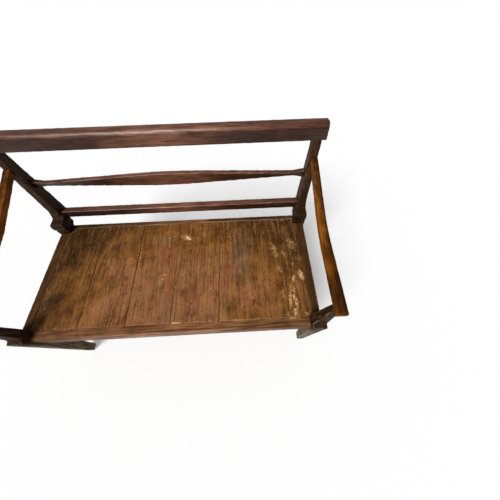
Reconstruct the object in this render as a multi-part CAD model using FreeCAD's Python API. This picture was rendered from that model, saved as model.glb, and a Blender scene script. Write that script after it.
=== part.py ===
import FreeCAD, Part
import math
import os

# Driving dimensions, in millimetres.
# The bench is drawn with x = 0 at its middle, y = 0 at the front face of the front seat
# rail and z = 0 on the floor. Heights above the seat start from the seat's top, and the
# depths of the back and its legs start from the rear face of the seat. The whole bench is
# moved along y at the end, so that the origin is under its centre.

# Seat frame
seat_length = 1210.0
seat_depth = 550.0
seat_height = 435.0
rail_height = 80.0
front_rail_thickness = 38.0
side_rail_thickness = 34.0
rear_rail_thickness = 24.0
nosing_radius = 9.0

# Seat planks, which run from front to back; the widths are relative to each other
plank_widths = (184.0, 192.0, 182.0, 200.0, 196.0, 188.0)
plank_thickness = 20.0
plank_gap = 0.6
tongue_length = 8.0
tongue_thickness = 7.0

# Front legs, each one piece with the support of the arm
leg_width = 56.0
leg_depth = 56.0
leg_side_reveal = 10.0
leg_front_reveal = 15.0
foot_width = 34.0
foot_depth = 35.0
leg_taper_drop = 12.0
leg_taper_radius = 60.0
cove_start_height = 28.0
cove_depth = 18.0
cove_radius = 17.0
support_taper_height = 48.0
support_top_width = 31.0
support_top_depth = 20.0

# Arms
arm_height = 216.0
arm_thickness = 23.0
arm_front_width = 39.0
arm_front_overhang = 2.0
arm_back_width = 28.0
arm_front_y = -2.0
arm_slope = 15.0
arm_bend_to_back = 248.0
arm_bend_radius = 683.0
arm_end_radius = 6.0
arm_corner_radius = 3.0

# Back posts, each sawn in one piece with its leg
post_width_low = 38.0
post_width_high = 33.0
post_front_low = 16.0
post_front_high = 55.0
post_back_low = 70.0
post_back_high = 89.5
post_low_height = 120.0
post_high_height = 380.0
knee_reach = 50.0
knee_height = 62.0
knee_block_height = 18.0
knee_shelf_depth = 43.0
knee_quirk = 2.5
knee_bulge = 2.5
knee_radius = 12.0
knee_back_height = 42.0
knee_neck_height = 76.0
back_leg_rake = 35.0
back_foot_depth = 40.0

# Crest rail
crest_overhang = 15.0
crest_height = 62.0
crest_thickness = 47.0
crest_bottom_height = 383.0
crest_bottom_front = 52.0
crest_tilt = 8.7
crest_front_radius = 21.0
crest_back_radius = 10.0
crest_edge_radius = 3.0

# Middle rail, deepest at its middle and flared at its ends
middle_rail_height = 227.5
middle_rail_thickness = 20.0
middle_rail_front = 50.0
middle_rail_peak = 69.0
middle_rail_peak_radius = 2400.0
middle_rail_neck = 15.0
middle_rail_flare = 34.0
middle_rail_flare_length = 48.0
middle_rail_flare_radius = 60.0

# Lower rail
lower_rail_bottom = 35.0
lower_rail_height = 42.0
lower_rail_thickness = 30.0
lower_rail_front = 22.0

# Joints
tenon_thickness = 12.0
tenon_shoulder = 10.0
tenon_root = 6.0
rail_tenon_length = 30.0
side_tenon_length = 22.0
side_tenon_setback = 1.0
front_tenon_setback = 6.0
back_tenon_length = 22.0
arm_tenon_length = 20.0
arm_tenon_height = 13.0
support_tenon_length = 14.0
crest_tenon_width = 22.0
crest_tenon_length = 34.0
fit_clearance = 0.25

# Pegs
peg_diameter = 7.0
peg_clearance = 0.15
peg_end_clearance = 0.4
peg_proud = 0.6
peg_spacing = 32.0
peg_past_tenon = 4.0
blind_peg_inset = 6.5
side_peg_inset = 11.0

edge_radius = 2.0

# Places that follow from the driving dimensions
x_rail = seat_length / 2
x_rail_inner = x_rail - side_rail_thickness
x_outer = x_rail + leg_side_reveal
x_leg_inner = x_outer - leg_width
leg_front = -leg_front_reveal
leg_back = leg_front + leg_depth
rail_bottom = seat_height - rail_height
rear_rail_y = seat_depth - rear_rail_thickness
knee_front_y = seat_depth - knee_reach
middle_rail_y = seat_depth + middle_rail_front
lower_rail_y = seat_depth + lower_rail_front
arm_bottom = seat_height + arm_height
arm_bend_y = seat_depth - arm_bend_to_back
peg_radius = peg_diameter / 2


def box(x0, x1, y0, y1, z0, z1):
    """A block between two corners."""
    return Part.makeBox(x1 - x0, y1 - y0, z1 - z0, FreeCAD.Vector(x0, y0, z0))


def grown(x0, x1, y0, y1, z0, z1):
    """The mortise for a tenon block, with the fit clearance all round."""
    c = fit_clearance
    return box(x0 - c, x1 + c, y0 - c, y1 + c, z0 - c, z1 + c)


def mirrored(shape):
    """The same piece on the other end of the bench."""
    return shape.mirror(FreeCAD.Vector(0, 0, 0), FreeCAD.Vector(1, 0, 0))


def side_view(y, z):
    return FreeCAD.Vector(0, y, z)


def front_view(x, z):
    return FreeCAD.Vector(x, 0, z)


def plan_view(x, y):
    return FreeCAD.Vector(x, y, 0)


def outline(corners, view):
    """A closed face from (a, b, radius) corners; a radius rounds its corner."""
    points = [view(a, b) for a, b, radius in corners]
    count = len(points)
    starts = []
    ends = []
    middles = []
    for i in range(count):
        before = points[i - 1] - points[i]
        after = points[(i + 1) % count] - points[i]
        shorter = min(before.Length, after.Length)
        before.normalize()
        after.normalize()
        half = before.getAngle(after) / 2
        reach = min(corners[i][2] / math.tan(half), 0.49 * shorter)
        radius = reach * math.tan(half)
        inward = (before + after).normalize()
        starts.append(points[i] + before * reach)
        ends.append(points[i] + after * reach)
        middles.append(points[i] + inward * (radius / math.sin(half) - radius))
    edges = []
    for i in range(count):
        if corners[i][2] > 0:
            edges.append(Part.Arc(starts[i], middles[i], ends[i]).toShape())
        edges.append(Part.LineSegment(ends[i], starts[(i + 1) % count]).toShape())
    return Part.Face(Part.Wire(edges))


def slab_x(corners, x0, x1):
    """A side-view outline, made solid from x0 to x1."""
    face = outline(corners, side_view)
    face.translate(FreeCAD.Vector(x0, 0, 0))
    return face.extrude(FreeCAD.Vector(x1 - x0, 0, 0))


def slab_y(corners, y0, y1):
    """A front-view outline, made solid from y0 to y1."""
    face = outline(corners, front_view)
    face.translate(FreeCAD.Vector(0, y0, 0))
    return face.extrude(FreeCAD.Vector(0, y1 - y0, 0))


def slab_z(corners, z0, z1):
    """A plan outline, made solid from z0 to z1."""
    face = outline(corners, plan_view)
    face.translate(FreeCAD.Vector(0, 0, z0))
    return face.extrude(FreeCAD.Vector(0, 0, z1 - z0))


# The post leans back along straight lines; these follow them to any height above the seat

def along_post(low, high, height):
    share = (height - post_low_height) / (post_high_height - post_low_height)
    return low + (high - low) * share


def post_front(height):
    return seat_depth + along_post(post_front_low, post_front_high, height)


def post_back(height):
    return seat_depth + along_post(post_back_low, post_back_high, height)


def post_inner(height):
    return x_outer - along_post(post_width_low, post_width_high, height)


# The arm is level at the front and climbs in a straight line at the back

arm_climb = math.tan(math.radians(arm_slope))


def arm_underside(y):
    """Height above the floor of the climbing part of the arm's underside."""
    return arm_bottom + (y - arm_bend_y) * arm_climb


arm_join_height = arm_underside(post_front(post_high_height)) - seat_height
arm_join_y = post_front(arm_join_height)


# Tenons of the right-hand joints, each as (x0, x1, y0, y1, z0, z1)

tenon_low = rail_bottom + tenon_shoulder
tenon_high = seat_height - tenon_shoulder


def front_rail_tenon():
    y0 = front_tenon_setback
    return (x_leg_inner, x_leg_inner + rail_tenon_length, y0, y0 + tenon_thickness,
            tenon_low, tenon_high)


def rear_rail_tenon():
    y0 = rear_rail_y + (rear_rail_thickness - tenon_thickness) / 2
    return (x_leg_inner, x_leg_inner + rail_tenon_length, y0, y0 + tenon_thickness,
            tenon_low, tenon_high)


def side_rail_tenon(y0):
    x1 = x_rail - side_tenon_setback
    return (x1 - tenon_thickness, x1, y0, y0 + side_tenon_length, tenon_low, tenon_high)


def side_rail_front_tenon():
    return side_rail_tenon(leg_back - side_tenon_length)


def side_rail_back_tenon():
    return side_rail_tenon(knee_front_y)


def middle_rail_tenon():
    x0 = post_inner(middle_rail_height) - tenon_root
    y0 = middle_rail_y + (middle_rail_thickness - tenon_thickness) / 2
    half = middle_rail_flare / 2 - tenon_shoulder / 2
    z = seat_height + middle_rail_height
    return (x0, x0 + tenon_root + back_tenon_length, y0, y0 + tenon_thickness,
            z - half, z + half)


def lower_rail_tenon():
    x0 = post_inner(lower_rail_bottom) - tenon_root
    y0 = lower_rail_y + (lower_rail_thickness - tenon_thickness) / 2
    z0 = seat_height + lower_rail_bottom + tenon_shoulder / 2
    return (x0, x0 + tenon_root + back_tenon_length, y0, y0 + tenon_thickness,
            z0, z0 + lower_rail_height - tenon_shoulder)


def arm_tenon():
    """The block at the back end of the arm, which enters the front of the post."""
    x0 = x_outer - (arm_back_width + tenon_thickness) / 2
    y0 = arm_join_y - tenon_root
    z0 = arm_underside(arm_join_y) + (arm_thickness - arm_tenon_height) / 2
    return (x0, x0 + tenon_thickness, y0, arm_join_y + arm_tenon_length,
            z0, z0 + arm_tenon_height)


def support_tenon():
    """The block on top of the front leg, which enters the arm from below."""
    x0 = x_outer - (support_top_width + tenon_thickness) / 2
    y1 = leg_back - (support_top_depth - tenon_thickness) / 2
    return (x0, x0 + tenon_thickness, y1 - tenon_thickness, y1,
            arm_bottom, arm_bottom + support_tenon_length)


def crest_tenon():
    """The block on top of the post, which enters the crest rail from below."""
    height = crest_bottom_height
    x0 = (post_inner(height) + x_outer - crest_tenon_width) / 2
    y0 = (post_front(height) + post_back(height) - tenon_thickness) / 2
    z = seat_height + height
    return (x0, x0 + crest_tenon_width, y0, y0 + tenon_thickness,
            z - crest_tenon_length, z + crest_tenon_length)


# Pegs of the right-hand joints, each as (start, direction, length), driven from the start

def peg_levels():
    """The two heights at which a seat rail's tenon is pegged."""
    middle = (tenon_low + tenon_high) / 2
    return middle - peg_spacing / 2, middle + peg_spacing / 2


def front_leg_pegs():
    """Two pegs from the outside and two hidden ones from inside the seat frame."""
    places = []
    x0, x1, y0, y1, z0, z1 = front_rail_tenon()
    side_x0 = side_rail_front_tenon()[0]
    for z in peg_levels():
        start = FreeCAD.Vector(x_outer + peg_proud, leg_back - side_peg_inset, z)
        length = start.x - side_x0 + peg_past_tenon
        places.append((start, FreeCAD.Vector(-1, 0, 0), length))
        start = FreeCAD.Vector(x_leg_inner + blind_peg_inset, leg_back, z)
        places.append((start, FreeCAD.Vector(0, -1, 0), leg_back - y0 + peg_past_tenon))
    return places


def back_post_pegs():
    """Pegs of both seat rails, and one from the back for each of the upper rails."""
    places = []
    x0, x1, y0, y1, z0, z1 = rear_rail_tenon()
    side_x0 = side_rail_back_tenon()[0]
    for z in peg_levels():
        start = FreeCAD.Vector(x_outer + peg_proud, knee_front_y + side_peg_inset, z)
        length = start.x - side_x0 + peg_past_tenon
        places.append((start, FreeCAD.Vector(-1, 0, 0), length))
        start = FreeCAD.Vector(x_leg_inner + blind_peg_inset, knee_front_y, z)
        places.append((start, FreeCAD.Vector(0, 1, 0), y1 - knee_front_y + peg_past_tenon))
    for tenon in (middle_rail_tenon(), lower_rail_tenon()):
        x0, x1, y0, y1, z0, z1 = tenon
        z = (z0 + z1) / 2
        start_y = post_back(z - seat_height) + peg_proud
        start = FreeCAD.Vector(x0 + tenon_root + side_peg_inset, start_y, z)
        places.append((start, FreeCAD.Vector(0, -1, 0), start_y - y0 + peg_past_tenon))
    return places


def arm_pegs():
    """One peg through each end joint of the arm, driven from the outer side."""
    places = []
    across = FreeCAD.Vector(-1, 0, 0)
    x0, x1, y0, y1, z0, z1 = arm_tenon()
    start = FreeCAD.Vector(x_outer + peg_proud, arm_join_y + side_peg_inset, (z0 + z1) / 2)
    places.append((start, across, start.x - x0 + peg_radius))
    x0, x1, y0, y1, z0, z1 = support_tenon()
    y = (y0 + y1) / 2
    start = FreeCAD.Vector(arm_outer(y) + peg_proud, y, (z0 + z1) / 2)
    places.append((start, across, start.x - x0 + peg_radius))
    return places


def crest_pegs():
    """One peg through the tenon of the post, driven from the back of the crest rail."""
    x0, x1, y0, y1, z0, z1 = crest_tenon()
    z = seat_height + crest_bottom_height + crest_tenon_length / 2
    start_y = crest_back(z) + peg_proud
    start = FreeCAD.Vector((x0 + x1) / 2, start_y, z)
    return [(start, FreeCAD.Vector(0, -1, 0), start_y - y0 + peg_radius)]


def peg_group(places):
    """The pegs themselves, as separate solids."""
    return [Part.makeCylinder(peg_radius, length, start, direction)
            for start, direction, length in places]


def peg_holes():
    """The holes of all right-hand pegs, a little wider and deeper than the pegs."""
    holes = []
    for start, direction, length in front_leg_pegs() + back_post_pegs() + arm_pegs() + crest_pegs():
        holes.append(Part.makeCylinder(peg_radius + peg_clearance, length + peg_end_clearance,
                                       start, direction))
    return holes


def beside_post_face(x, y0, y1):
    """Everything between the line of the right post's inner face and x, above the seat."""
    top = crest_bottom_height + crest_height
    corners = [
        (post_inner(0), seat_height, 0),
        (post_inner(top), seat_height + top, 0),
        (x, seat_height + top, 0),
        (x, seat_height, 0),
    ]
    return slab_y(corners, y0, y1)


def joined(body, blocks):
    return body.fuse(blocks).removeSplitter()


def with_mortises(body, tenons):
    return body.cut([grown(*tenon) for tenon in tenons])


def front_leg():
    """Right front leg: tapered below the seat, coved above it and carrying the arm."""
    cove_top = seat_height + cove_start_height
    foot_back = leg_front + foot_depth
    taper_z = rail_bottom - leg_taper_drop
    side = [
        (leg_front, 0, edge_radius),
        (leg_front, cove_top, edge_radius),
        (leg_front + cove_depth, cove_top + edge_radius, cove_radius),
        (leg_back - support_top_depth, arm_bottom, 0),
        (leg_back, arm_bottom, 0),
        (leg_back, taper_z, leg_taper_radius),
        (foot_back, 0, edge_radius),
    ]
    front = [
        (x_outer - foot_width, 0, edge_radius),
        (x_outer, 0, edge_radius),
        (x_outer, arm_bottom, 0),
        (x_outer - support_top_width, arm_bottom, 0),
        (x_leg_inner, seat_height + support_taper_height, leg_taper_radius),
        (x_leg_inner, taper_z, leg_taper_radius),
    ]
    leg = slab_x(side, x_leg_inner, x_outer)
    leg = leg.common(slab_y(front, leg_front, leg_back))
    leg = joined(leg, [box(*support_tenon())])
    leg = with_mortises(leg, [front_rail_tenon(), side_rail_front_tenon()])
    return leg.cut(peg_holes())


def crest_point(back, up):
    """A point of the crest rail's tilted section, from its lower front corner."""
    tilt = math.radians(crest_tilt)
    y = seat_depth + crest_bottom_front + back * math.cos(tilt) + up * math.sin(tilt)
    z = crest_bottom_height - back * math.sin(tilt) + up * math.cos(tilt)
    return y, seat_height + z


def crest_back(z):
    """The y position of the crest rail's back face at a height above the floor."""
    low_y, low_z = crest_point(crest_thickness, 0)
    return low_y + (z - low_z) * math.tan(math.radians(crest_tilt))


def above_crest_bottom():
    """Everything above the plane on which the crest rail rests."""
    far = seat_depth
    corners = [crest_point(-far, 0), crest_point(far, 0), crest_point(far, far),
               crest_point(-far, far)]
    return slab_x([(y, z, 0) for y, z in corners], -2 * x_outer, 2 * x_outer)


def post_blank():
    """Right back post without its joints: knee at the seat, leg below, raked post above."""
    s = seat_height
    block = s + knee_block_height
    shelf = s + knee_height
    bulge = (block + shelf) / 2
    shoulder = (knee_height + post_low_height) / 2
    top = crest_bottom_height + crest_height / 2
    taper_z = rail_bottom - leg_taper_drop
    foot_back = seat_depth + back_leg_rake
    side = [
        (foot_back - back_foot_depth, 0, edge_radius),
        (knee_front_y, taper_z, leg_taper_radius),
        (knee_front_y, block, 0),
        (knee_front_y + knee_quirk, block + knee_quirk, 0),
        (knee_front_y - knee_bulge, bulge, knee_radius),
        (knee_front_y + knee_quirk, shelf, knee_radius),
        (knee_front_y + knee_shelf_depth, shelf, knee_radius),
        (post_front(shoulder), s + shoulder, 2 * knee_radius),
        (post_front(top), s + top, 0),
        (post_back(top), s + top, 0),
        (post_back(knee_back_height), s + knee_back_height, knee_radius),
        (seat_depth, s, knee_radius),
        (seat_depth, taper_z, leg_taper_radius),
        (foot_back, 0, edge_radius),
    ]
    front = [
        (x_outer - foot_width, 0, edge_radius),
        (x_outer, 0, edge_radius),
        (x_outer, block, 0),
        (x_outer - knee_quirk, block + knee_quirk, 0),
        (x_outer, block + 2 * knee_quirk, knee_quirk),
        (x_outer, s + top, 0),
        (post_inner(top), s + top, 0),
        (post_inner(knee_neck_height), s + knee_neck_height, knee_radius),
        (x_leg_inner + knee_quirk, shelf, knee_radius),
        (x_leg_inner - knee_bulge, bulge, knee_radius),
        (x_leg_inner + knee_quirk, block + knee_quirk, 0),
        (x_leg_inner, block, 0),
        (x_leg_inner, taper_z, leg_taper_radius),
    ]
    post = slab_x(side, x_leg_inner - knee_bulge, x_outer)
    post = post.common(slab_y(front, knee_front_y - knee_bulge, post_back(top)))
    behind_knee = beside_post_face(x_leg_inner - leg_width, lower_rail_y, post_back(top))
    return post.cut([behind_knee, above_crest_bottom()])


def back_post():
    """Right back post with its tenon for the crest rail and all its mortises."""
    post = joined(post_blank(), [box(*crest_tenon())])
    post = with_mortises(post, [rear_rail_tenon(), side_rail_back_tenon(),
                                middle_rail_tenon(), lower_rail_tenon(), arm_tenon()])
    return post.cut(peg_holes())


def groove(x0, x1, y0, y1):
    """The groove for the planks' tongues; a tongue rests on its lower face."""
    low = seat_height - (plank_thickness + tongue_thickness) / 2
    return box(x0, x1, y0, y1, low, low + tongue_thickness + fit_clearance)


def both_ends(shapes):
    return shapes + [mirrored(shape) for shape in shapes]


def front_seat_rail():
    corners = [
        (0, rail_bottom, edge_radius),
        (front_rail_thickness, rail_bottom, 0),
        (front_rail_thickness, seat_height, 0),
        (0, seat_height, nosing_radius),
    ]
    rail = slab_x(corners, -x_leg_inner, x_leg_inner)
    rail = joined(rail, both_ends([box(*front_rail_tenon())]))
    y1 = front_rail_thickness
    slot = groove(-x_leg_inner, x_leg_inner, y1 - tongue_length - fit_clearance, y1)
    return rail.cut([slot] + both_ends(peg_holes()))


def rear_seat_rail():
    rail = box(-x_leg_inner, x_leg_inner, rear_rail_y, seat_depth, rail_bottom, seat_height)
    rail = joined(rail, both_ends([box(*rear_rail_tenon())]))
    y0 = rear_rail_y
    slot = groove(-x_leg_inner, x_leg_inner, y0, y0 + tongue_length + fit_clearance)
    return rail.cut([slot] + both_ends(peg_holes()))


def side_seat_rail():
    """Right side rail of the seat, between the front leg and the back post."""
    rail = box(x_rail_inner, x_rail, leg_back, knee_front_y, rail_bottom, seat_height)
    rail = joined(rail, [box(*side_rail_front_tenon()), box(*side_rail_back_tenon())])
    x1 = x_rail_inner + tongue_length + fit_clearance
    slot = groove(x_rail_inner, x1, leg_back, knee_front_y)
    return rail.cut([slot] + peg_holes())


def plank_edges():
    """The x positions of the joints between planks, from the left side rail to the right."""
    edges = [-x_rail_inner]
    for width in plank_widths:
        edges.append(edges[-1] + width * 2 * x_rail_inner / sum(plank_widths))
    return edges


def seat_plank(index):
    """One plank, tongued into the front and rear rails and, at the ends, the side rails."""
    edges = plank_edges()
    is_first = index == 0
    is_last = index == len(plank_widths) - 1
    x0 = edges[index] + (fit_clearance if is_first else plank_gap / 2)
    x1 = edges[index + 1] - (fit_clearance if is_last else plank_gap / 2)
    y0 = front_rail_thickness + fit_clearance
    y1 = rear_rail_y - fit_clearance
    low = seat_height - (plank_thickness + tongue_thickness) / 2
    tongue_x0 = x0 - (tongue_length if is_first else 0)
    tongue_x1 = x1 + (tongue_length if is_last else 0)
    plank = box(x0, x1, y0, y1, seat_height - plank_thickness, seat_height)
    tongue = box(tongue_x0, tongue_x1, y0 - tongue_length, y1 + tongue_length,
                 low, low + tongue_thickness)
    plank = joined(plank, [tongue])
    leg_corner = box(x_leg_inner - fit_clearance, x_outer, leg_front, leg_back + fit_clearance,
                     rail_bottom, seat_height)
    post_corner = box(x_leg_inner - fit_clearance, x_outer, knee_front_y - fit_clearance,
                      seat_depth, rail_bottom, seat_height)
    return plank.cut(both_ends([leg_corner, post_corner]))


def arm_outer(y):
    """The outer edge of the arm, which swells slightly towards the front."""
    share = (arm_join_y - y) / (arm_join_y - arm_front_y)
    return x_outer + arm_front_overhang * share


def arm():
    """Right arm: level and wide over the front leg, narrow where it climbs to the post."""
    far_y = arm_join_y + seat_depth / 10
    top = arm_bottom + arm_thickness
    rise = arm_thickness / math.cos(math.radians(arm_slope))
    top_bend_y = arm_bend_y - arm_thickness * math.tan(math.radians(arm_slope / 2))
    side = [
        (arm_front_y, arm_bottom, arm_end_radius),
        (arm_bend_y, arm_bottom, arm_bend_radius + arm_thickness),
        (far_y, arm_underside(far_y), 0),
        (far_y, arm_underside(far_y) + rise, 0),
        (top_bend_y, top, arm_bend_radius),
        (arm_front_y, top, arm_end_radius),
    ]
    front_outer = x_outer + arm_front_overhang
    plan = [
        (front_outer - arm_front_width, arm_front_y, arm_corner_radius),
        (front_outer, arm_front_y, arm_corner_radius),
        (x_outer, arm_join_y, 0),
        (x_outer, far_y, 0),
        (x_outer - arm_back_width, far_y, 0),
        (x_outer - arm_back_width, arm_join_y, 0),
    ]
    shape = slab_x(side, x_leg_inner, x_outer + leg_width)
    shape = shape.common(slab_z(plan, arm_bottom, arm_underside(far_y) + rise))
    low = -seat_height
    high = crest_bottom_height
    behind_post_front = [
        (post_front(low), 0, 0),
        (far_y + seat_depth, 0, 0),
        (far_y + seat_depth, seat_height + high, 0),
        (post_front(high), seat_height + high, 0),
    ]
    shape = shape.cut(slab_x(behind_post_front, x_leg_inner, x_outer + leg_width))
    shape = joined(shape, [box(*arm_tenon())])
    shape = with_mortises(shape, [support_tenon()])
    return shape.cut(peg_holes())


def crest_rail():
    """The top rail: flat below and rolled over at the front of its top."""
    section = [
        crest_point(0, 0) + (crest_edge_radius,),
        crest_point(crest_thickness, 0) + (crest_edge_radius,),
        crest_point(crest_thickness, crest_height) + (crest_back_radius,),
        crest_point(0, crest_height) + (crest_front_radius,),
    ]
    reach = x_outer + crest_overhang
    rail = slab_x(section, -reach, reach)
    return rail.cut(both_ends([grown(*crest_tenon())] + peg_holes()))


def middle_rail():
    """The slim rail of the back, cut off along the leaning inner faces of the posts."""
    z = seat_height + middle_rail_height
    shoulder = post_inner(middle_rail_height)
    neck = shoulder - middle_rail_flare_length
    flare = shoulder - tenon_root
    far = shoulder + tenon_root
    half = [
        (0, middle_rail_peak / 2, middle_rail_peak_radius),
        (neck, middle_rail_neck / 2, middle_rail_flare_radius),
        (flare, middle_rail_flare / 2, edge_radius),
        (far, middle_rail_flare / 2, 0),
    ]
    right_top = [(x, z + h, r) for x, h, r in half]
    right_bottom = [(x, z - h, r) for x, h, r in reversed(half)]
    left_bottom = [(-x, z - h, r) for x, h, r in half[1:]]
    left_top = [(-x, z + h, r) for x, h, r in reversed(half[1:])]
    corners = right_top + right_bottom + left_bottom + left_top
    y1 = middle_rail_y + middle_rail_thickness
    rail = slab_y(corners, middle_rail_y, y1)
    rail = rail.cut(both_ends([beside_post_face(x_outer, middle_rail_y, y1)]))
    rail = joined(rail, both_ends([box(*middle_rail_tenon())]))
    return rail.cut(both_ends(peg_holes()))


def lower_rail():
    """The straight rail low in the back, which ends behind the knees of the posts."""
    z0 = seat_height + lower_rail_bottom
    y0 = lower_rail_y
    y1 = lower_rail_y + lower_rail_thickness
    corners = [
        (y0, z0, edge_radius),
        (y1, z0, edge_radius),
        (y1, z0 + lower_rail_height, edge_radius),
        (y0, z0 + lower_rail_height, edge_radius),
    ]
    rail = slab_x(corners, -x_outer, x_outer)
    rail = rail.cut(both_ends([beside_post_face(x_outer, y0, y1)]))
    rail = joined(rail, both_ends([box(*lower_rail_tenon())]))
    return rail.cut(both_ends(peg_holes()))


def all_pieces():
    """Every piece of the bench by its name, each as a list of solids."""
    pieces = {
        "front_seat_rail": front_seat_rail().Solids,
        "rear_seat_rail": rear_seat_rail().Solids,
        "crest_rail": crest_rail().Solids,
        "middle_rail": middle_rail().Solids,
        "lower_rail": lower_rail().Solids,
    }
    for index in range(len(plank_widths)):
        pieces["seat_plank_%d" % (index + 1)] = seat_plank(index).Solids
    right_hand = {
        "front_leg": front_leg().Solids,
        "back_post": back_post().Solids,
        "side_seat_rail": side_seat_rail().Solids,
        "arm": arm().Solids,
        "front_leg_pegs": peg_group(front_leg_pegs()),
        "back_post_pegs": peg_group(back_post_pegs()),
        "arm_pegs": peg_group(arm_pegs()),
        "crest_pegs": peg_group(crest_pegs()),
    }
    for name, solids in right_hand.items():
        pieces[name + "_right"] = solids
        pieces[name + "_left"] = [mirrored(solid) for solid in solids]
    return pieces


def as_one_shape(solids):
    return solids[0] if len(solids) == 1 else Part.makeCompound(solids)


pieces = {name: as_one_shape(solids) for name, solids in all_pieces().items()}
bounds = Part.makeCompound(list(pieces.values())).optimalBoundingBox(False, False)
to_centre = FreeCAD.Vector(0, -(bounds.YMin + bounds.YMax) / 2, 0)

os.makedirs("parts", exist_ok=True)
for name, shape in sorted(pieces.items()):
    shape.translate(to_centre)
    shape.exportStep("parts/%s.step" % name)
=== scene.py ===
import math
import bmesh
import bpy
import numpy as np
from mathutils import Matrix, Vector


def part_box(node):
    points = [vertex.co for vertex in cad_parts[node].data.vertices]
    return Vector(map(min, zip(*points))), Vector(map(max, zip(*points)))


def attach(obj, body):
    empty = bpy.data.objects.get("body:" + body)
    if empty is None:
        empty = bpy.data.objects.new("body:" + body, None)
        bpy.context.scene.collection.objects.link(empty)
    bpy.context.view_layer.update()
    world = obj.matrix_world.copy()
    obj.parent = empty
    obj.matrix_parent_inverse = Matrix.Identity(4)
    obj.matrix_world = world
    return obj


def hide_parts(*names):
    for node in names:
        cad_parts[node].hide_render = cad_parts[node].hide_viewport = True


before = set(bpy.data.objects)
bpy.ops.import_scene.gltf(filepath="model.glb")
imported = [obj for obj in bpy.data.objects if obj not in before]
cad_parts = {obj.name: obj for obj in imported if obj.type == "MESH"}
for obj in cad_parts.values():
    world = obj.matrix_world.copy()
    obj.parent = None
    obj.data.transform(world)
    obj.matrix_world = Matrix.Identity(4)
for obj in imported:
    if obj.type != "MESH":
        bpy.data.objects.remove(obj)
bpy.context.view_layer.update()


# The camera stands in front of the bench, right of its middle, and looks steeply down at
# the seat through a wide lens. Its angles are in degrees and its place is in metres.
lens_in_pixels = 213.06
picture_width = 500
sensor_width = 36.0
look_down = math.radians(62.98)
turn_right = math.radians(2.09)
roll = math.radians(0.906)
eye = Vector((0.3136, -0.4246, 1.3398))

ahead = Vector((math.sin(turn_right) * math.cos(look_down),
                math.cos(turn_right) * math.cos(look_down),
                -math.sin(look_down)))
level_right = Vector((math.cos(turn_right), -math.sin(turn_right), 0.0))
level_down = ahead.cross(level_right)
picture_right = math.cos(roll) * level_right + math.sin(roll) * level_down
picture_down = math.cos(roll) * level_down - math.sin(roll) * level_right
camera_data = bpy.data.cameras.new("viewpoint")
camera_data.sensor_width = sensor_width
camera_data.lens = lens_in_pixels / picture_width * sensor_width
camera_data.clip_start = 0.05
camera_data.clip_end = 60.0
camera = bpy.data.objects.new("viewpoint", camera_data)
axes = Matrix((picture_right, -picture_down, -ahead)).transposed()
camera.matrix_world = Matrix.Translation(eye) @ axes.to_4x4()
bpy.context.scene.collection.objects.link(camera)
bpy.context.scene.camera = camera
bpy.context.scene.view_settings.view_transform = "Standard"


# The studio: a floor of white paper that runs on to the horizon, a white room all round,
# and one broad light, high in front and to the left, whose soft shadow falls to the right.

def linear(hex_colour):
    """An sRGB hex colour as the linear values that a shader takes."""
    channels = []
    for i in (0, 2, 4):
        value = int(hex_colour[i:i + 2], 16) / 255
        channels.append(value / 12.92 if value <= 0.04045 else ((value + 0.055) / 1.055) ** 2.4)
    return (*channels, 1.0)


def add_node(tree, kind, inputs=None, **settings):
    """Adds a node with its settings; each input gets a value or a link."""
    node = tree.nodes.new(kind)
    for name, value in settings.items():
        setattr(node, name, value)
    for name, value in (inputs or {}).items():
        if isinstance(value, bpy.types.NodeSocket):
            tree.links.new(value, node.inputs[name])
        else:
            node.inputs[name].default_value = value
    return node


# White studio paper, matt. The camera sees it a little lifted, so that it is plain white
# in the light and keeps the soft grey of the shadow. From below, the paper is clear.
lift = 0.25
paper = bpy.data.materials.new("white_studio_paper")
paper.use_nodes = True
tree = paper.node_tree
tree.nodes.clear()
rays = add_node(tree, "ShaderNodeLightPath")
matt = add_node(tree, "ShaderNodeBsdfDiffuse", {"Color": linear("dcdcdc")})
glow = add_node(tree, "ShaderNodeEmission", {"Color": linear("ffffff"), "Strength": lift})
lifted = add_node(tree, "ShaderNodeAddShader", {0: matt.outputs[0], 1: glow.outputs[0]})
shown = add_node(tree, "ShaderNodeMixShader", {"Fac": rays.outputs["Is Camera Ray"],
                                               1: matt.outputs[0], 2: lifted.outputs[0]})
below = add_node(tree, "ShaderNodeNewGeometry").outputs["Backfacing"]
clear = add_node(tree, "ShaderNodeBsdfTransparent")
one_sided = add_node(tree, "ShaderNodeMixShader", {"Fac": below, 1: shown.outputs[0],
                                                   2: clear.outputs[0]})
add_node(tree, "ShaderNodeOutputMaterial", {"Surface": one_sided.outputs[0]})

floor_half = 9.0  # metres
floor_mesh = bpy.data.meshes.new("floor")
floor_mesh.from_pydata([(-floor_half, -floor_half, 0.0), (floor_half, -floor_half, 0.0),
                        (floor_half, floor_half, 0.0), (-floor_half, floor_half, 0.0)],
                       [], [(0, 1, 2, 3)])
floor_mesh.materials.append(paper)
floor = bpy.data.objects.new("floor", floor_mesh)
bpy.context.scene.collection.objects.link(floor)

# The room is plain white to the camera, but lights the bench only faintly, from all round.
room_light = 0.22
plain_white = 1.0
room = bpy.data.worlds.new("white_room")
room.use_nodes = True
tree = room.node_tree
tree.nodes.clear()
rays = add_node(tree, "ShaderNodeLightPath")
dim = add_node(tree, "ShaderNodeBackground", {"Color": linear("ffffff"), "Strength": room_light})
white = add_node(tree, "ShaderNodeBackground", {"Color": linear("ffffff"),
                                                "Strength": plain_white})
shown = add_node(tree, "ShaderNodeMixShader", {"Fac": rays.outputs["Is Camera Ray"],
                                               1: dim.outputs[0], 2: white.outputs[0]})
add_node(tree, "ShaderNodeOutputWorld", {"Surface": shown.outputs[0]})
bpy.context.scene.world = room

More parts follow.
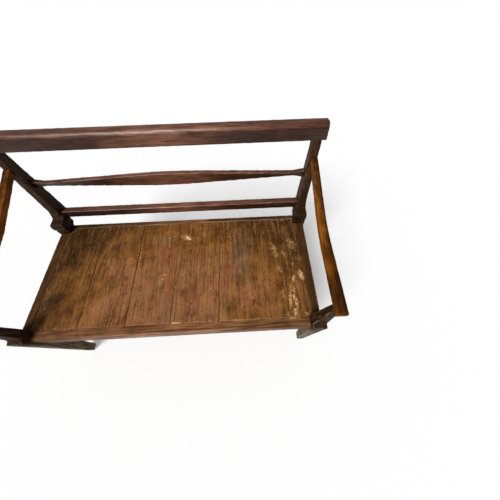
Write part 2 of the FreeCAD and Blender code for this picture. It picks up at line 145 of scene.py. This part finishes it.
towards_skylight = Vector((-0.48, -0.58, 1.0))
skylight_data = bpy.data.lights.new("skylight", "SUN")
skylight_data.energy = 3.25
skylight_data.angle = math.radians(26)
skylight = bpy.data.objects.new("skylight", skylight_data)
skylight.matrix_world = towards_skylight.to_track_quat("Z", "Y").to_matrix().to_4x4()
bpy.context.scene.collection.objects.link(skylight)


# The seat: six old pine boards that run from front to back, planed by hand and tongued
# into the rails around them. A brown stain is thin in the middle, and the boards are darker
# and olive towards the back and the ends, and there are drips and scrapes of pale paint.

def random_waves(points, length, seed):
    """A smooth random value for each point, about -1 to 1, changing over that length."""
    waves = 9
    rng = np.random.default_rng(seed)
    total = np.zeros(len(points))
    for _ in range(waves):
        direction = rng.normal(size=3)
        direction *= 2 * math.pi * rng.uniform(0.6, 1.6) / (length * np.linalg.norm(direction))
        total += np.sin(points @ direction + rng.uniform(0, 2 * math.pi))
    return total / math.sqrt(waves)


def averaged(values, edges, rounds):
    """Each vertex's values averaged with those of its neighbours, round by round."""
    count = len(values)
    neighbours = np.bincount(edges.ravel(), minlength=count) + 1.0
    for _ in range(rounds):
        columns = []
        for axis in range(values.shape[1]):
            column = values[:, axis]
            total = column + np.bincount(edges[:, 0], column[edges[:, 1]], count)
            total += np.bincount(edges[:, 1], column[edges[:, 0]], count)
            columns.append(total / neighbours)
        values = np.stack(columns, axis=1)
    return values


def vertex_vectors(vertices, field):
    """One vector for each vertex, as rows of an array."""
    values = np.empty(len(vertices) * 3)
    vertices.foreach_get(field, values)
    return values.reshape(-1, 3)


def merged_copy(node):
    """The mesh of a CAD node with its loose triangles joined, to be freed after use."""
    shell = bmesh.new()
    shell.from_mesh(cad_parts[node].data)
    bmesh.ops.remove_doubles(shell, verts=shell.verts, dist=1e-6)
    return shell


# How deep wear goes at a corner, how far a face rises and falls, and the lengths over
# which the two change, in metres.
wear_depth = 0.0005
wear_length = 0.03
unevenness = 0.00015
unevenness_length = 0.05
# How far a vertex stands out from its smoothed surroundings where it is fully a corner,
# and how far it lies in them where it is fully a hollow, in cells of the piece's grid.
full_corner = 0.30
full_hollow = 0.22
smoothing_rounds = 4


def worn_copy(node, material, offset, marks, grid=0.0025, rounding=1, lengthwise=True):
    """Puts a worn piece in place of a sawn one: corners rubbed round, faces uneven.

    The offset moves the grain, so that no two pieces have the same. The surface is
    smoothed rounding times, and lengthwise too unless that would shorten the piece.
    """
    shell = merged_copy(node)
    mesh = bpy.data.meshes.new(node + "_worn")
    shell.to_mesh(mesh)
    shell.free()
    piece = bpy.data.objects.new(node + "_worn", mesh)
    bpy.context.scene.collection.objects.link(piece)
    even = piece.modifiers.new("even_grid", "REMESH")
    even.mode = "VOXEL"
    even.voxel_size = grid
    soften = piece.modifiers.new("soften", "SMOOTH")
    soften.iterations = rounding
    soften.use_y = lengthwise
    bpy.context.view_layer.update()
    seen = piece.evaluated_get(bpy.context.evaluated_depsgraph_get())
    mesh = bpy.data.meshes.new_from_object(seen)
    piece.modifiers.clear()
    piece.data = mesh

    points = vertex_vectors(mesh.vertices, "co")
    normals = vertex_vectors(mesh.vertices, "normal")
    edges = np.empty(len(mesh.edges) * 2, dtype=np.int64)
    mesh.edges.foreach_get("vertices", edges)
    edges = edges.reshape(-1, 2)
    seed = sum(ord(letter) for letter in node)
    smoothed = averaged(points, edges, smoothing_rounds)
    bulge = ((points - smoothed) * normals).sum(axis=1) / grid
    corner = np.clip(bulge / full_corner, 0, 1)
    hollow = np.clip(-bulge / full_hollow, 0, 1)
    chips = np.clip(0.5 + random_waves(points, wear_length, seed), 0, 1.5)
    waviness = random_waves(points, unevenness_length, seed + 1)
    sink = wear_depth * corner * chips - unevenness * waviness
    values = {"corner": corner, "hollow": hollow, "offset": np.full(len(points), offset)}
    values.update(marks(points, normals))
    points -= normals * sink[:, None]
    mesh.vertices.foreach_set("co", points.ravel())
    for name, numbers in values.items():
        mesh.attributes.new(name, "FLOAT", "POINT").data.foreach_set("value", numbers)
    mesh.materials.clear()
    mesh.materials.append(material)
    mesh.shade_smooth()
    mesh.update()
    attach(piece, "root")
    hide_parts(node)


# Pale paint on the seat, in oval marks: how far each lies from the seat's right end and
# from its front edge, its length and width, all in millimetres, its turn from the line of
# the front edge in degrees, and its strength.
paint_marks = (
    (575, 440, 34, 22, -35, 1.00), (584, 443, 84, 34, -20, 0.52), (522, 434, 20, 12, -38, 0.62),
    (664, 424, 70, 10, -80, 0.62), (669, 248, 110, 34, -116, 0.44), (678, 206, 40, 18, -78, 0.46),
    (582, 261, 70, 26, -75, 0.42), (519, 268, 52, 22, -93, 0.42), (451, 172, 30, 20, -46, 0.44),
    (159, 349, 90, 34, -79, 0.52), (162, 365, 36, 20, -79, 0.66), (144, 252, 44, 22, -64, 0.54),
    (75, 380, 90, 44, -65, 0.50), (81, 277, 26, 8, -92, 0.60), (52, 221, 56, 26, -81, 0.84),
    (89, 203, 50, 20, -111, 0.70), (115, 110, 76, 13, -96, 0.84), (97, 125, 50, 11, -100, 0.86),
    (89, 94, 50, 16, -90, 0.84), (99, 58, 42, 18, -94, 0.74), (142, 134, 60, 20, -89, 0.50),
    (131, 50, 30, 20, -60, 0.60), (54, 52, 22, 12, -30, 0.70), (183, 192, 78, 5, -2, 0.50),
    (223, 230, 66, 5, -93, 0.60), (243, 164, 56, 6, -91, 0.52), (275, 128, 34, 16, -30, 0.42),
    (536, 119, 50, 10, -84, 0.44), (592, 41, 46, 7, 0, 0.80), (514, 37, 110, 5, -2, 0.72),
    (426, 36, 36, 7, 0, 0.66), (346, 38, 60, 9, 0, 0.70), (297, 37, 56, 6, 0, 0.66),
    (212, 36, 120, 5, -2, 0.66), (113, 36, 62, 8, 0, 0.80), (105, 521, 140, 5, -2, 0.56),
    (792, 300, 330, 6, -90, 0.64), (545, 500, 170, 26, -10, 0.34),
    (330, 39, 600, 4, 0, 0.50), (120, 330, 40, 20, -70, 0.56), (100, 160, 60, 30, -80, 0.52),
)
# Soft dark stains and patches where the old finish has bloomed grey, given the same way.
dark_marks = ((148, 330, 330, 110, -90, 0.26), (420, 470, 160, 60, 0, 0.16))
grey_marks = ((314, 330, 290, 90, -88, 0.62), (690, 430, 110, 60, -10, 0.50),
              (630, 90, 90, 160, 0, 0.35))
fall_at_edge = 0.7  # leaves an oval half its strength at its edge
seat_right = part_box("side_seat_rail_right")[1][0]
seat_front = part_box("front_seat_rail")[0][1]
seat_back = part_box("rear_seat_rail")[1][1]


def spots(from_end, from_front, marks):
    """How strongly each point, placed in millimetres, lies in the strongest of the ovals."""
    strongest = np.zeros(len(from_end))
    for across, back, length, width, turn, strength in marks:
        slant = math.radians(turn)
        along = (across - from_end) * math.cos(slant) + (from_front - back) * math.sin(slant)
        aside = (from_end - across) * math.sin(slant) + (from_front - back) * math.cos(slant)
        spread = (2 * along / length) ** 2 + (2 * aside / width) ** 2
        strongest = np.maximum(strongest, strength * np.exp(-fall_at_edge * spread ** 2))
    return strongest


def seat_marks(points, normals):
    """Paint, grey bloom and darkening for each point of the seat."""
    from_end = (seat_right - points[:, 0]) * 1000
    from_front = (points[:, 1] - seat_front) * 1000
    depth = (seat_back - seat_front) * 1000
    to_side = np.minimum(from_end, 2 * seat_right * 1000 - from_end)
    # The seat is darkened from half a metre from each end, with more in the last 150 mm. It
    # is also darkened from halfway back, fully just before the rear edge.
    near_end = np.clip(1.1 - to_side / 450, 0, 1)
    at_end = np.clip(1 - to_side / 150, 0, 1)
    near_back = np.clip(from_front / depth * 2.4 - 1.25, 0, 1)
    dirt_and_shade = 0.48 * near_back + 0.52 * near_end + 0.45 * near_back * near_end + 0.50 * at_end
    dirt_and_shade += 0.14 * random_waves(points, 0.2, 11) + spots(from_end, from_front, dark_marks)
    from_above = np.clip(2 * normals[:, 2], 0, 1)
    return {"paint": spots(from_end, from_front, paint_marks) * from_above,
            "bloom": spots(from_end, from_front, grey_marks) * from_above,
            "dirt_and_shade": np.clip(dirt_and_shade, 0, 1)}


# A piece's offset moves its grain along this line. Paint is flaked by the specks, whose
# values are stretched and lowered by these two before they thin it.
grain_shift = (3.7, 5.3, 7.1)
flake_contrast = 3.4
flake_drop = -0.7
relief_height = 0.0010  # metres
# The fibres' noise lies mostly between these values, and the gloss changes over them.
fibre_low = 0.3
fibre_high = 0.7


def wood_patterns(tree, sizes, grain_axis, distortion, marks, blotches, contrast):
    """The noise patterns of a wood, and the marks on its mesh, nought where it has none.

    Each pattern has its width across the grain and its length along it, in millimetres,
    and its detail. Grime and shade is the darkening on the mesh, dirt and in places painted
    shade, broken up by the blotches.
    """
    place = add_node(tree, "ShaderNodeTexCoord").outputs["Object"]
    offset = add_node(tree, "ShaderNodeAttribute", attribute_name="offset").outputs["Fac"]
    shifted = add_node(tree, "ShaderNodeVectorMath", {0: offset, 1: grain_shift, 2: place},
                       operation="MULTIPLY_ADD").outputs[0]
    patterns = {}
    for pattern, width_mm, length_mm, detail in sizes:
        scale = [1000 / width_mm] * 3
        scale[grain_axis] = 1000 / length_mm
        drawn_out = add_node(tree, "ShaderNodeMapping", {"Vector": shifted, "Scale": scale})
        noise = add_node(tree, "ShaderNodeTexNoise",
                         {"Vector": drawn_out.outputs[0], "Scale": 1.0, "Detail": detail,
                          "Distortion": distortion})
        patterns[pattern] = noise.outputs["Fac"]
    for mark in marks:
        patterns[mark] = add_node(tree, "ShaderNodeAttribute", attribute_name=mark).outputs["Fac"]
    flaking = add_node(tree, "ShaderNodeMath",
                       {0: patterns["specks"], 1: flake_contrast, 2: flake_drop},
                       operation="MULTIPLY_ADD").outputs[0]
    patterns["flakes"] = add_node(tree, "ShaderNodeMath", {0: patterns["paint"], 1: flaking},
                                  operation="MULTIPLY").outputs[0]
    dirty = add_node(tree, "ShaderNodeMath",
                     {0: patterns[blotches], 1: contrast, 2: -contrast / 2},
                     operation="MULTIPLY_ADD").outputs[0]
    patterns["grime_and_shade"] = add_node(tree, "ShaderNodeMath", {0: patterns["dirt_and_shade"], 1: dirty},
                                 operation="ADD").outputs[0]
    return patterns


def layered_colour(tree, patterns, ground, layers):
    """The ground colour under its layers, one over another.

    Each layer has its pattern, the pattern's values where the layer begins and where it is
    full, its share of the colour where it is full, and its tone.
    """
    colour = linear(ground)
    for pattern, begins, full, share, tone in layers:
        layer = add_node(tree, "ShaderNodeMapRange",
                         {"Value": patterns[pattern], "From Min": begins, "From Max": full,
                          "To Max": share})
        mixed = add_node(tree, "ShaderNodeMix", {"Factor": layer.outputs[0], 6: colour,
                                                 7: linear(tone)}, data_type="RGBA")
        colour = mixed.outputs[2]
    return colour


def wood_surface(tree, patterns, colour, relief, sheen, roughness):
    """The surface: that colour, a low relief along the grain, and an uneven gloss."""
    height = add_node(tree, "ShaderNodeMath", {0: patterns["lines"], 1: patterns["fibre"]},
                      operation="ADD")
    bump = add_node(tree, "ShaderNodeBump", {"Height": height.outputs[0], "Strength": relief,
                                             "Distance": relief_height})
    gloss = add_node(tree, "ShaderNodeMapRange",
                     {"Value": patterns["fibre"], "From Min": fibre_low, "From Max": fibre_high,
                      "To Min": roughness - 0.08, "To Max": roughness + 0.12})
    surface = add_node(tree, "ShaderNodeBsdfPrincipled",
                       {"Base Color": colour, "Roughness": gloss.outputs[0], "IOR": 1.46,
                        "Specular IOR Level": sheen, "Normal": bump.outputs[0]})
    add_node(tree, "ShaderNodeOutputMaterial", {"Surface": surface.outputs[0]})


# Old stained pine, hand planed and long sat on: soft grain lines along the board, warm
# where the stain is thin, dull and darker towards the back and ends, with flakes of chalky pale
# paint.
# Pine's growth rings are 2 to 4 mm apart and its fibres far finer, which wouldn't show, so
# the lines are drawn 6 mm wide and the fibres 2.4 mm. The scratches run across the board.
boards = bpy.data.materials.new("stained_hand_planed_pine")
boards.use_nodes = True
tree = boards.node_tree
tree.nodes.clear()
patterns = wood_patterns(tree, (("figure", 34, 420, 4), ("lines", 6, 110, 5),
                                ("fibre", 2.4, 50, 3), ("patches", 110, 150, 4),
                                ("stains", 42, 54, 5), ("specks", 7, 10, 4),
                                ("scratches", 110, 2.6, 3)),
                         grain_axis=1, distortion=0.0,
                         marks=("paint", "dirt_and_shade", "bloom", "corner", "hollow"),
                         blotches="stains", contrast=0.9)
colour = layered_colour(tree, patterns, "905e3c", (("figure", 0.45, 0.62, 0.40, "78442a"),
                                                   ("patches", 0.50, 0.62, 0.50, "86482a"),
                                                   ("patches", 0.47, 0.34, 0.60, "7c5a26"),
                                                   ("grime_and_shade", 0.10, 0.34, 0.80, "8a561c"),
                                                   ("stains", 0.52, 0.64, 0.55, "523822"),
                                                   ("stains", 0.46, 0.34, 0.50, "9e6c38"),
                                                   ("bloom", 0.10, 0.60, 0.40, "6c6252"),
                                                   ("grime_and_shade", 0.15, 0.98, 0.88, "2c1a05"),
                                                   ("lines", 0.52, 0.66, 0.45, "a07044"),
                                                   ("lines", 0.48, 0.36, 0.55, "43260c"),
                                                   ("scratches", 0.58, 0.70, 0.30, "946a40"),
                                                   ("specks", 0.58, 0.70, 0.45, "a47a48"),
                                                   ("specks", 0.42, 0.32, 0.55, "2e1a08"),
                                                   ("corner", 0.30, 1.00, 0.30, "967046"),
                                                   ("hollow", 0.10, 0.80, 0.60, "1c120b"),
                                                   ("flakes", 0.30, 0.62, 0.62, "b0844e"),
                                                   ("flakes", 0.72, 0.98, 0.90, "dcbc98")))
wood_surface(tree, patterns, colour, relief=0.35, sheen=0.12, roughness=0.54)

for number in range(1, 7):
    worn_copy("seat_plank_%d" % number, boards, number * 0.37, seat_marks)


# The seat's frame: four oak rails, tenoned into the legs and posts. The front one has a
# nosing painted pale as a highlight, and the two side ones are dark with old stain.

def stained_oak(name, grain_axis, body, deep, pale, bare_and_highlight, dirt_and_shade, sheen, roughness, line_mm=6):
    """Oak under old stain: lines along the grain, blotches, rubbed corners, a painted highlight,
    and darkening that is dirt and in places painted shade.

    Oak's rings are 1 to 3 mm apart and its pores far finer. They are drawn coarser than
    that, as lines of line_mm and as fibres, so that they show.
    """
    material = bpy.data.materials.new(name)
    material.use_nodes = True
    tree = material.node_tree
    tree.nodes.clear()
    patterns = wood_patterns(tree, (("figure", 24, 300, 4), ("lines", line_mm, 18 * line_mm, 5),
                                    ("fibre", 2.2, 60, 3), ("blotch", 42, 80, 5),
                                    ("specks", 7, 12, 4)),
                             grain_axis, distortion=0.3,
                             marks=("paint", "dirt_and_shade", "corner", "painted_highlight", "hollow"),
                             blotches="blotch", contrast=0.8)
    # Corners are bared, and a pale highlight is painted where it is marked; both show most where
    # the lines are pale.
    most_on_pale_lines = add_node(tree, "ShaderNodeMapRange", {"Value": patterns["lines"],
                                                    "From Min": 0.3, "From Max": 0.6})
    wear_and_highlight = add_node(tree, "ShaderNodeMath", {0: patterns["corner"], 1: patterns["painted_highlight"]},
                    operation="MAXIMUM")
    patterns["bare_and_highlight"] = add_node(tree, "ShaderNodeMath",
                                {0: wear_and_highlight.outputs[0], 1: most_on_pale_lines.outputs[0]},
                                operation="MULTIPLY").outputs[0]
    colour = layered_colour(tree, patterns, body, (("figure", 0.46, 0.62, 0.50, deep),
                                                   ("blotch", 0.46, 0.36, 0.30, pale),
                                                   ("blotch", 0.52, 0.64, 0.45, deep),
                                                   ("specks", 0.60, 0.72, 0.30, pale),
                                                   ("lines", 0.50, 0.66, 0.60, pale),
                                                   ("lines", 0.48, 0.36, 0.65, deep),
                                                   ("grime_and_shade", 0.05, 0.95, 0.94, dirt_and_shade),
                                                   ("lines", 0.52, 0.66, 0.14, pale),
                                                   ("lines", 0.48, 0.36, 0.28, dirt_and_shade),
                                                   ("bare_and_highlight", 0.25, 1.00, 0.45, bare_and_highlight),
                                                   ("hollow", 0.10, 0.80, 0.70, "1c120b"),
                                                   ("flakes", 0.30, 0.62, 0.62, "b0844e"),
                                                   ("flakes", 0.72, 0.98, 0.90, "dcbc98")))
    wood_surface(tree, patterns, colour, relief=0.4, sheen=sheen, roughness=roughness)
    return material


rear_strip = 0.05  # the depth of the darker strip along the seat's back edge, in metres


def frame_marks(points, normals):
    """The frame darker towards the ends and behind, and a painted highlight on the nosing."""
    marks = seat_marks(points, normals)
    # This is 0 in the middle of the bench and 1 at its ends.
    from_middle = np.abs(points[:, 0]) / seat_right
    at_back = points[:, 1] > seat_back - rear_strip
    marks["dirt_and_shade"] = np.clip(from_middle * 0.75 - 0.05 + 0.45 * at_back, 0, 1)
    # The painted highlight goes on the nosing, which is what looks forward and isn't turned far
    # down.
    nosing = np.clip(-1.6 * normals[:, 1], 0, 1) * (normals[:, 2] > -0.3)
    marks["painted_highlight"] = nosing * np.clip(1.25 - 1.2 * from_middle, 0, 1)
    return marks


# Sawn oak under a thin brown stain: broad light and dark streaks along the rail, a dull
# satin, and a pale pinkish highlight painted along the nosing.
long_rails = stained_oak("stained_sawn_oak_rails", 0, body="845230", deep="4c2c16",
                         pale="a47446", bare_and_highlight="bfa28c", dirt_and_shade="34200a", sheen=0.15,
                         roughness=0.5, line_mm=9)
worn_copy("front_seat_rail", long_rails, 2.9, frame_marks)
worn_copy("rear_seat_rail", long_rails, 3.4, frame_marks)

# The same oak with its old stain still thick: dark brown, darker in the grain, and dull.
side_rails = stained_oak("dark_stained_oak_side_rails", 1, body="5a3a1a", deep="2c1a08",
                         pale="7a522a", bare_and_highlight="7c5c3c", dirt_and_shade="3a240c", sheen=0.10,
                         roughness=0.52)
worn_copy("side_seat_rail_left", side_rails, 3.8, frame_marks)
worn_copy("side_seat_rail_right", side_rails, 4.0, frame_marks)


# The front legs: oak, each in one piece with the upright that carries the arm, tapered
# below the seat and hollowed to a cove above it. Below the seat they are painted grey, a
# painted sheen of the white floor, and above it they are dark olive brown.
stain_begins = 0.40  # metres above the floor
stain_deepens_over = 0.04


def leg_marks(points, normals):
    """Old dark stain on the parts of a leg that stand above the seat."""
    return {"dirt_and_shade": np.clip((points[:, 2] - stain_begins) / stain_deepens_over, 0, 1)}


# Oak painted grey, for the sheen of the white floor on it, with darker grain and almost no gloss.
# Above the seat an old dark stain hides all but a trace of the grain.
leg_wood = stained_oak("oak_front_legs_painted_grey_sheen", 2, body="6a5a44", deep="3c2e1e",
                       pale="94866e", bare_and_highlight="9c8c7a", dirt_and_shade="2c1704", sheen=0.05,
                       roughness=0.55)
worn_copy("front_leg_left", leg_wood, 4.3, leg_marks, grid=0.002)
worn_copy("front_leg_right", leg_wood, 4.5, leg_marks, grid=0.002)


# The back posts: oak, each sawn in one piece with its leg, with a rounded knee at the
# seat. They are dark from polish and hands, and darkest at the knee.
knee_top = 0.53  # metres above the floor
knee_fades_over = 0.12
crest_nears = 0.70  # metres above the floor
crest_nears_over = 0.05


def post_marks(points, normals):
    """The dark knee and leg, and some dirt on all of the post above them."""
    above_knee = (points[:, 2] - knee_top) / knee_fades_over
    near_crest = np.clip((points[:, 2] - crest_nears) / crest_nears_over, 0, 1)
    return {"dirt_and_shade": np.clip(1 - above_knee, 0.25 + 0.3 * near_crest, 1)}


# Oak darkened by polish and hands: a blackish brown with a low sheen, in which the grain
# hardly shows, worn a little lighter along the corners.
post_wood = stained_oak("dark_polished_oak_posts", 2, body="4a3220", deep="20120a",
                        pale="684c34", bare_and_highlight="766450", dirt_and_shade="281604", sheen=0.10,
                        roughness=0.48)
worn_copy("back_post_left", post_wood, 4.7, post_marks, grid=0.002)
worn_copy("back_post_right", post_wood, 4.9, post_marks, grid=0.002)


# The arms: lighter oak, sawn to a long curve, rounded over along their edges and polished
# by hands to an amber brown. Old dark finish is left in front, and the outer edge is
# darker, partly old finish and partly painted shade where the rounded top turns away.

def arm_marks(points, normals):
    """Dark finish at the two ends of the arm, and darkening on its outer half and outer side that
    is partly old finish and partly painted shade.
    """
    low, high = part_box("arm_right")
    across = (np.abs(points[:, 0]) - low[0]) / (high[0] - low[0])
    outward = normals[:, 0] * np.sign(points[:, 0])
    from_front = (points[:, 1] - low[1]) * 1000
    # The outer half and the outward faces are darkened partly as painted shade, for the rounded
    # top turning away from the light.
    outer_finish_and_shade = np.clip(1.45 * (across - 0.2) + np.clip(outward, 0, 1), 0, 0.95)
    # The finish at the front end reaches 255 mm back, and that behind starts at 340 mm.
    front = np.clip((255 - from_front) / 260, 0, 0.62)
    back = np.clip((from_front - 340) / 420, 0, 0.8)
    return {"dirt_and_shade": 1 - (1 - outer_finish_and_shade) * (1 - front) * (1 - back)}


# Oak that hands have polished: smooth and amber with a soft shine along the inner edge,
# and nearly black where the old finish is left and where shade is painted on the outer half.
arm_wood = stained_oak("hand_polished_oak_arms", 1, body="8c500d", deep="5c3006",
                       pale="9c5c12", bare_and_highlight="7c4812", dirt_and_shade="1e0c03", sheen=0.10,
                       roughness=0.38)
for side, offset in (("left", 5.2), ("right", 5.4)):
    worn_copy("arm_" + side, arm_wood, offset, arm_marks, grid=0.002, rounding=8,
              lengthwise=False)


# The rails of the back: the rolled crest on top of the posts, the slim middle rail and
# the straight lower rail, all oak with a dark warm stain under old wax. They are darker
# towards the posts, their front faces darker still as painted shade, and a highlight is
# painted on the rolled edges in the middle of the bench.
plain_middle_half = 0.02  # half the length of the part in the middle that isn't darkened, in metres
# How far a face leans is read from its normal, whose y is -1 where it looks straight
# ahead. The painted highlight on a roll is where the lean is roll_lean, within roll_reach of it.
roll_lean = -0.84
roll_reach = 0.18


def back_marks(points, normals):
    """Darker towards the posts, most of all on the front faces as painted shade, and a painted
    highlight on the rolls in the middle.
    """
    from_middle = np.clip(np.abs(points[:, 0]) - plain_middle_half, 0, 1)
    # Faces that look forward are darkened further, as painted shade.
    front_face_shade = np.clip(-12 * normals[:, 1] - 10.8, 0, 1)
    # The pale streak on the roll is a painted highlight, strongest in the middle of the bench.
    on_roll = np.clip(1 - np.abs(normals[:, 1] - roll_lean) / roll_reach, 0, 1)
    return {"dirt_and_shade": np.clip(from_middle * (1.15 + 2.4 * front_face_shade), 0, 1),
            "painted_highlight": on_roll * np.clip(1.2 - 4.5 * np.abs(points[:, 0]), 0, 1)}


# Oak under stain and wax: a close grain in a warm reddish brown, and enough polish to
# catch the light along each rounded edge, where a pale satin streak is also painted on.
back_wood = stained_oak("waxed_oak_back_rails", 0, body="784c38", deep="4c2a1a",
                        pale="885c46", bare_and_highlight="a48676", dirt_and_shade="2a1307", sheen=0.45,
                        roughness=0.32, line_mm=4)
worn_copy("crest_rail", back_wood, 6.1, back_marks)
worn_copy("middle_rail", back_wood, 6.3, back_marks)
worn_copy("lower_rail", back_wood, 6.6, back_marks)


# The pegs: split oak, whittled eight-sided and driven through the tenons. Only their ends
# show, which are rounded over by the mallet and nearly black with dirt.
facets = 8
rings = 14
rounded_end = 0.0016  # metres
end_girth = 0.72  # of the peg's full girth
whittling_depth = 0.0004  # metres
cuts_per_metre = 260.0

peg_tree = bpy.data.node_groups.new("whittled_pegs", "GeometryNodeTree")
sockets = {"Axes": ("INPUT", "NodeSocketGeometry"), "Peg radius": ("INPUT", "NodeSocketFloat"),
           "Rounded end": ("INPUT", "NodeSocketFloat"), "Facets": ("INPUT", "NodeSocketInt"),
           "Whittling": ("INPUT", "NodeSocketFloat"), "Seed": ("INPUT", "NodeSocketFloat"),
           "Wood": ("INPUT", "NodeSocketMaterial"), "Pegs": ("OUTPUT", "NodeSocketGeometry")}
for name, (direction, kind) in sockets.items():
    peg_tree.interface.new_socket(name=name, in_out=direction, socket_type=kind)
given = add_node(peg_tree, "NodeGroupInput").outputs
paths = add_node(peg_tree, "GeometryNodeMeshToCurve", {"Mesh": given["Axes"]})
points_on = add_node(peg_tree, "GeometryNodeResampleCurve", {"Curve": paths.outputs[0],
                                                             "Count": rings})
spline = add_node(peg_tree, "GeometryNodeSplineParameter").outputs
length = add_node(peg_tree, "GeometryNodeSplineLength").outputs["Length"]
from_far = add_node(peg_tree, "ShaderNodeMath", {0: length, 1: spline["Length"]},
                    operation="SUBTRACT")
nearest = add_node(peg_tree, "ShaderNodeMath", {0: from_far.outputs[0], 1: spline["Length"]},
                   operation="MINIMUM")
girth = add_node(peg_tree, "ShaderNodeMapRange",
                 {"Value": nearest.outputs[0], "From Max": given["Rounded end"],
                  "To Min": end_girth, "To Max": 1.0})
outline = add_node(peg_tree, "GeometryNodeCurvePrimitiveCircle",
                   {"Resolution": given["Facets"], "Radius": given["Peg radius"]})
sticks = add_node(peg_tree, "GeometryNodeCurveToMesh",
                  {"Curve": points_on.outputs[0], "Profile Curve": outline.outputs[0],
                   "Scale": girth.outputs[0], "Fill Caps": True})
whittle = add_node(peg_tree, "ShaderNodeTexNoise",
                   {"W": given["Seed"], "Scale": cuts_per_metre}, noise_dimensions="4D")
centred = add_node(peg_tree, "ShaderNodeVectorMath", {0: whittle.outputs["Color"],
                                                      1: (0.5, 0.5, 0.5)}, operation="SUBTRACT")
uneven = add_node(peg_tree, "ShaderNodeVectorMath", {0: centred.outputs[0],
                                                     "Scale": given["Whittling"]},
                  operation="SCALE")
carved = add_node(peg_tree, "GeometryNodeSetPosition", {"Geometry": sticks.outputs[0],
                                                        "Offset": uneven.outputs[0]})
real = add_node(peg_tree, "GeometryNodeRealizeInstances", {"Geometry": carved.outputs[0]})
finished = add_node(peg_tree, "GeometryNodeSetMaterial", {"Geometry": real.outputs[0],
                                                          "Material": given["Wood"]})
add_node(peg_tree, "NodeGroupOutput", {"Pegs": finished.outputs[0]})

# Split oak whose ends have soaked up dirt: nearly black and dull, with a fine grain.
peg_wood = stained_oak("split_oak_peg_ends", 1, body="3d2a1b", deep="20140c",
                       pale="55402b", bare_and_highlight="5e4a38", dirt_and_shade="20140c", sheen=0.25,
                       roughness=0.6, line_mm=2)


def peg_axes(node):
    """The two ends of the axis of each peg of the node, and the pegs' radius."""
    shell = merged_copy(node)
    unvisited = set(shell.verts)
    ends = []
    # The pegs are taken in the order of their vertices, so that each run gives the same.
    for first in shell.verts:
        if first not in unvisited:
            continue
        unvisited.remove(first)
        reached = [first]
        for vertex in reached:
            for edge in vertex.link_edges:
                other = edge.other_vert(vertex)
                if other in unvisited:
                    unvisited.remove(other)
                    reached.append(other)
        places = np.array([tuple(vertex.co) for vertex in reached])
        low, high = places.min(axis=0), places.max(axis=0)
        middle = (low + high) / 2
        along = np.argmax(high - low)
        radius = np.min(high - low) / 2
        for side in (low, high):
            end = middle.copy()
            end[along] = side[along]
            ends.append(tuple(end))
    shell.free()
    return ends, radius


for side in ("left", "right"):
    for group in ("front_leg_pegs_", "back_post_pegs_", "arm_pegs_", "crest_pegs_"):
        ends, radius = peg_axes(group + side)
        axis_mesh = bpy.data.meshes.new(group + side + "_axes")
        axis_mesh.from_pydata(ends, [(i, i + 1) for i in range(0, len(ends), 2)], [])
        pegs = bpy.data.objects.new(group + side + "_whittled", axis_mesh)
        bpy.context.scene.collection.objects.link(pegs)
        maker = pegs.modifiers.new("whittled_pegs", "NODES")
        maker.node_group = peg_tree
        wanted = {"Peg radius": radius, "Rounded end": rounded_end, "Facets": facets,
                  "Whittling": whittling_depth, "Seed": float(len(ends)), "Wood": peg_wood}
        for item in peg_tree.interface.items_tree:
            if item.name in wanted:
                maker[item.identifier] = wanted[item.name]
        bpy.context.view_layer.update()
        seen = pegs.evaluated_get(bpy.context.evaluated_depsgraph_get())
        pegs.data = bpy.data.meshes.new_from_object(seen)
        pegs.modifiers.clear()
        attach(pegs, "root")
        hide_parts(group + side)
